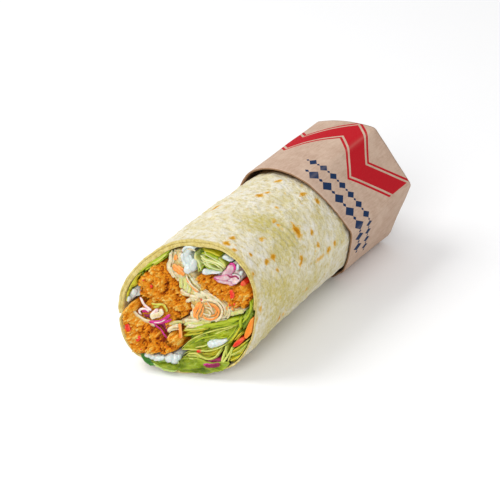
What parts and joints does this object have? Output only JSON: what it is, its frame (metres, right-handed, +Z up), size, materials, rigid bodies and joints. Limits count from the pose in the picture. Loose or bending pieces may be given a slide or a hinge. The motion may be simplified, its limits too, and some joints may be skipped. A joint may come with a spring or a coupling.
{
  "type": "falafel wrap",
  "caption": "Cut falafel wrap with slaw, lettuce, red cabbage and sauce in a rolled tortilla, its other end in a six-sided kraft carton.",
  "frame": {"origin": "centre of the bounds, on the surface that the wrap lies on", "axes": "+Y along the wrap from the cut to the closed end of the carton, +Z up, +X to the right seen from the cut"},
  "size_m": [0.0703, 0.1732, 0.0685],
  "materials": {
    "tortilla": "soft wheat tortilla, cream with olive patches and toasted spots",
    "carton": "uncoated kraft board with a red and navy print",
    "falafel": "crumbly, orange brown, slightly moist",
    "slaw": "creamy white cabbage shreds, moist",
    "carrot": "raw orange carrot shreds, moist",
    "red_cabbage": "magenta skin on pinkish white flesh, moist",
    "red_pepper": "bright red, moist",
    "sauce": "white yoghurt sauce, glossy",
    "lettuce": "fresh green leaf, slightly glossy"
  },
  "bodies": {
    "root": {"tortilla": "tortilla", "carton": "carton", "falafel_upper": "falafel", "falafel_lower": "falafel", "falafel_right": "falafel", "slaw": "slaw", "carrot_top": "carrot", "carrot_curl": "carrot", "carrot_wide": "carrot", "carrot_stick": "carrot", "red_cabbage_left": "red_cabbage", "red_cabbage_right": "red_cabbage", "red_cabbage_low": "red_cabbage", "red_pepper_low": "red_pepper", "red_pepper_right": "red_pepper", "sauce_top": "sauce", "sauce_drop": "sauce", "sauce_right": "sauce", "sauce_left": "sauce", "sauce_low": "sauce", "lettuce_top": "lettuce", "lettuce_left": "lettuce", "lettuce_left_pale": "lettuce", "lettuce_under": "lettuce", "lettuce_right": "lettuce", "lettuce_fold": "lettuce", "lettuce_small": "lettuce", "lettuce_vee": "lettuce", "lettuce_corner": "lettuce", "lettuce_edge": "lettuce", "lettuce_bottom": "lettuce", "lettuce_bottom_left": "lettuce"}
  },
  "joints": []
}
